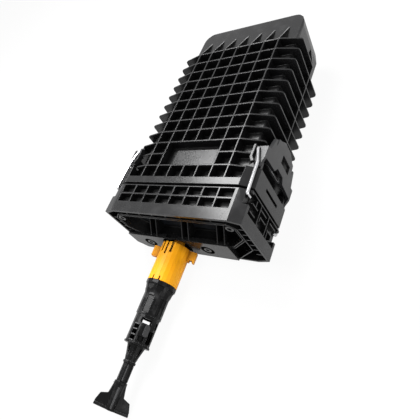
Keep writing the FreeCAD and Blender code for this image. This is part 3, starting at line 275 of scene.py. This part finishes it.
# Round-ended ribs are moulded on the holder: the sprung tongue and the ladder rungs of the cage, the
# seam along the tube, and the ridges of the neck and of the foot. They stand proud and carry a painted
# highlight: a paler copy of the holder's plastic.
ridge_highlight_plastic = moulded_plastic("ridge_highlight_plastic", painted_hollow_shade=(0.0030, 0.0030, 0.0032),
                                open_face=(0.034, 0.034, 0.035), edge=EDGE_HIGHLIGHT_GREY,
                                roughness=0.25, gloss=0.22, highlight_strength=0.6)
HOLDER_X, HOLDER_Z = -0.0215, 0.0194
HOLDER_TURN = 39.0
CAGE_LOW, CAGE_RADIUS = -0.17825, 0.0146
TONGUE_TURN, TONGUE_HEIGHT = 15.0, 0.0150
RUNG_TURN, RUNG_HEIGHTS = 1.0, (0.0010, 0.0072, 0.0136, 0.0198)
SEAM_TURN, TUBE_RADIUS, TUBE_MIDDLE = 57.0, 0.0156, -0.1333
NECK_RIDGES, NECK_RADIUS, NECK_MIDDLE = 6, 0.0063, -0.21175
FOOT_RADIUS, FOOT_MIDDLE = 0.0056, -0.2390
RIB_SIDES = 16
RIB_ROOT = 0.0012
CROWN_EASE = 0.45
ribs = bmesh.new()


def holder_rib(turn, radius, middle, width, length, proud, lay=0.0):
    """A rib on the holder, turned in degrees from the closure's front, and laid across it by 90."""
    before = set(ribs.verts)
    even = Matrix.Rotation(math.pi / RIB_SIDES, 4, "Z")
    ends = bmesh.ops.create_circle(ribs, cap_ends=True, segments=RIB_SIDES, radius=width / 2,
                                   matrix=even)["verts"]
    for side in (-1.0, 1.0):
        half = [vert for vert in ends if vert.co.y * side > 0.0]
        bmesh.ops.translate(ribs, verts=half, vec=(0.0, side * (length - width) / 2, 0.0))
    sole = ends[0].link_faces[:]
    raised = bmesh.ops.extrude_face_region(ribs, geom=sole)["geom"]
    crown = next(part for part in raised if isinstance(part, bmesh.types.BMFace))
    bmesh.ops.translate(ribs, verts=crown.verts[:], vec=(0.0, 0.0, RIB_ROOT + proud))
    bmesh.ops.bevel(ribs, geom=crown.edges[:], offset=CROWN_EASE * proud, offset_type="OFFSET",
                    affect="EDGES", segments=2, profile=0.5, material=-1)
    around = Matrix.Rotation(math.radians(turn), 4, "Y")
    across = Matrix.Rotation(math.radians(lay), 4, "Z")
    place = Matrix.Translation((HOLDER_X, middle, HOLDER_Z)) @ around
    seat = Matrix.Translation((0.0, 0.0, radius - RIB_ROOT)) @ across
    added = [vert for vert in ribs.verts if vert not in before]
    bmesh.ops.transform(ribs, matrix=place @ seat, verts=added)


holder_rib(turn=HOLDER_TURN + TONGUE_TURN, radius=CAGE_RADIUS, middle=CAGE_LOW + TONGUE_HEIGHT,
           width=0.0064, length=0.0140, proud=0.0011)
for height in RUNG_HEIGHTS:
    holder_rib(turn=RUNG_TURN, radius=CAGE_RADIUS, middle=CAGE_LOW + height,
               width=0.0013, length=0.0066, proud=0.0007, lay=90.0)
holder_rib(turn=HOLDER_TURN + SEAM_TURN, radius=TUBE_RADIUS, middle=TUBE_MIDDLE,
           width=0.0018, length=0.0225, proud=0.0008)
for number in range(NECK_RIDGES):
    step = 360.0 / NECK_RIDGES
    holder_rib(turn=HOLDER_TURN + step * number, radius=NECK_RADIUS, middle=NECK_MIDDLE,
               width=0.0014, length=0.0185, proud=0.0007)
for half_turn in (0.0, 180.0):
    holder_rib(turn=HOLDER_TURN + half_turn, radius=FOOT_RADIUS, middle=FOOT_MIDDLE,
               width=0.0022, length=0.0230, proud=0.0010)
bmesh.ops.recalc_face_normals(ribs, faces=ribs.faces)
holder_ribs = bpy.data.objects.new("holder_ribs", bpy.data.meshes.new("holder_ribs"))
ribs.to_mesh(holder_ribs.data)
ribs.free()
holder_ribs.data.materials.append(ridge_highlight_plastic)
bpy.context.scene.collection.objects.link(holder_ribs)
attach(holder_ribs, "root")

# The clamp core is a hollow plug, moulded in the holder's black plastic. It stands on the floor of the
# cage and grips the cable.
CORE_RADIUS, CORE_HEIGHT, CORE_WALL, CORE_DEPTH = 0.0092, 0.0190, 0.0036, 0.0152
CORE_SIDES = 32
core = bmesh.new()
bmesh.ops.create_circle(core, cap_ends=True, segments=CORE_SIDES, radius=CORE_RADIUS)
raised = bmesh.ops.extrude_face_region(core, geom=core.faces[:])["geom"]
crown = [part for part in raised if isinstance(part, bmesh.types.BMVert)]
bmesh.ops.translate(core, verts=crown, vec=(0.0, 0.0, CORE_HEIGHT))
mouth = [part for part in raised if isinstance(part, bmesh.types.BMFace)]
bmesh.ops.inset_region(core, faces=mouth, thickness=CORE_WALL)
sunk = bmesh.ops.extrude_face_region(core, geom=mouth)["geom"]
bottom = [part for part in sunk if isinstance(part, bmesh.types.BMVert)]
bmesh.ops.translate(core, verts=bottom, vec=(0.0, 0.0, -CORE_DEPTH))
bmesh.ops.delete(core, geom=mouth, context="FACES_ONLY")
upright = Matrix.Translation((HOLDER_X, CAGE_LOW, HOLDER_Z)) @ Matrix.Rotation(-math.pi / 2, 4, "X")
bmesh.ops.transform(core, matrix=upright, verts=core.verts)
bmesh.ops.recalc_face_normals(core, faces=core.faces)
clamp_core = bpy.data.objects.new("clamp_core", bpy.data.meshes.new("clamp_core"))
core.to_mesh(clamp_core.data)
core.free()
mould_edges(clamp_core, radius=0.0006)
clamp_core.data.materials.append(holder_plastic)
bpy.context.scene.collection.objects.link(clamp_core)
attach(clamp_core, "root")

# A plain white studio: a floor that keeps a faint shadow, and broad soft lights above and beside. Floor
# and room look white to the camera and in reflections, but light the part only at a plain level.
FLOOR_HALF = 6.0
floor = bpy.data.objects.new("floor", bpy.data.meshes.new("floor"))
sheet = bmesh.new()
bmesh.ops.create_grid(sheet, x_segments=1, y_segments=1, size=FLOOR_HALF)
sheet.to_mesh(floor.data)
sheet.free()
bpy.context.scene.collection.objects.link(floor)


def seen_rays(start):
    """One for the rays by which the camera, a shine or a clear piece sees the surroundings."""
    looks = [start.add("ShaderNodeLightPath", output=ray)
             for ray in ("Is Camera Ray", "Is Glossy Ray", "Is Transmission Ray")]
    return start.maths("MINIMUM", looks[0] + looks[1] + looks[2], 1.0)


WHITE, FLOOR_PAINT, ROOM_GREY = (1.0, 1.0, 1.0, 1.0), (0.8, 0.8, 0.8, 1.0), (0.30, 0.30, 0.30, 1.0)
FLOOR_GLOW, FLOOR_ROUGHNESS = 0.94, 0.9
floor_white, surface, start = new_finish("floor_white")
surface.inputs["Base Color"].default_value = FLOOR_PAINT
surface.inputs["Roughness"].default_value = FLOOR_ROUGHNESS
paint = Shade(start.tree, surface.outputs["BSDF"])
glow = start.add("ShaderNodeEmission", {"Color": WHITE, "Strength": 1.0})
shown = start.add("ShaderNodeMixShader", {0: seen_rays(start) * FLOOR_GLOW, 1: paint, 2: glow})
start.tree.links.new(shown.socket, start.tree.nodes["Material Output"].inputs["Surface"])
floor.data.materials.append(floor_white)

world = bpy.data.worlds.new("studio")
bpy.context.scene.world = world
world.use_nodes = True
start = Shade(world.node_tree)
room = start.add("ShaderNodeBackground", {"Color": ROOM_GREY, "Strength": 1.0})
white = start.add("ShaderNodeBackground", {"Color": WHITE, "Strength": 1.0})
shown = start.add("ShaderNodeMixShader", {0: seen_rays(start), 1: room, 2: white})
world.node_tree.links.new(shown.socket, world.node_tree.nodes["World Output"].inputs["Surface"])


def softbox(name, place, aim, size, power):
    """A soft rectangular light: where it stands, where it points, its two sides and its watts."""
    data = bpy.data.lights.new(name, "AREA")
    data.shape = "RECTANGLE"
    data.size, data.size_y = size
    data.energy = power
    lamp = bpy.data.objects.new(name, data)
    toward = Vector(aim) - Vector(place)
    facing = toward.to_track_quat("-Z", "Y").to_matrix().to_4x4()
    lamp.matrix_world = Matrix.Translation(place) @ facing
    bpy.context.scene.collection.objects.link(lamp)


softbox("front_left", place=(-0.42, 0.60, 1.05), aim=(0.0, 0.05, 0.05), size=(0.44, 0.46), power=19.0)
softbox("over_holder", place=(-0.86, 0.02, 1.05), aim=(-0.02, -0.15, 0.02), size=(0.40, 0.5), power=6.0)
softbox("holder_strip", place=(-0.244, 0.033, 1.05), aim=(-0.02, -0.135, 0.035), size=(0.22, 0.40),
        power=5.0)
softbox("behind_cap", place=(-0.45, 1.20, 0.10), aim=(0.0, 0.2, 0.08), size=(0.8, 0.14), power=0.8)
softbox("right_side", place=(1.4, -0.6, 0.9), aim=(0.0, 0.0, 0.05), size=(0.9, 0.9), power=10.0)

# The camera stands where the photograph was taken from: over the front face, to the right and towards
# the cable end. Its lens and centre are in pixels of the photograph's frame.
LENS_PIXELS = 401.596
FRAME_PIXELS = 420
CENTRE_X, CENTRE_Y = 175.905, 215.256
SENSOR = 36
CAMERA_PLACE = (0.284872, -0.210781, 0.395194)
camera = bpy.data.objects.new("camera", bpy.data.cameras.new("camera"))
camera.data.lens = LENS_PIXELS / FRAME_PIXELS * SENSOR
camera.data.shift_x = 0.5 - CENTRE_X / FRAME_PIXELS
camera.data.shift_y = CENTRE_Y / FRAME_PIXELS - 0.5
right = Vector((0.78795548, 0.36864106, -0.49318347))
up = Vector((-0.07006276, 0.84944802, 0.52300025))
ahead = Vector((-0.61173309, 0.37754712, -0.69515524))
turn = Matrix((right, up, -ahead)).transposed()
camera.matrix_world = Matrix.Translation(CAMERA_PLACE) @ turn.to_4x4()
bpy.context.scene.collection.objects.link(camera)
bpy.context.scene.camera = camera
bpy.context.scene.view_settings.view_transform = "Standard"
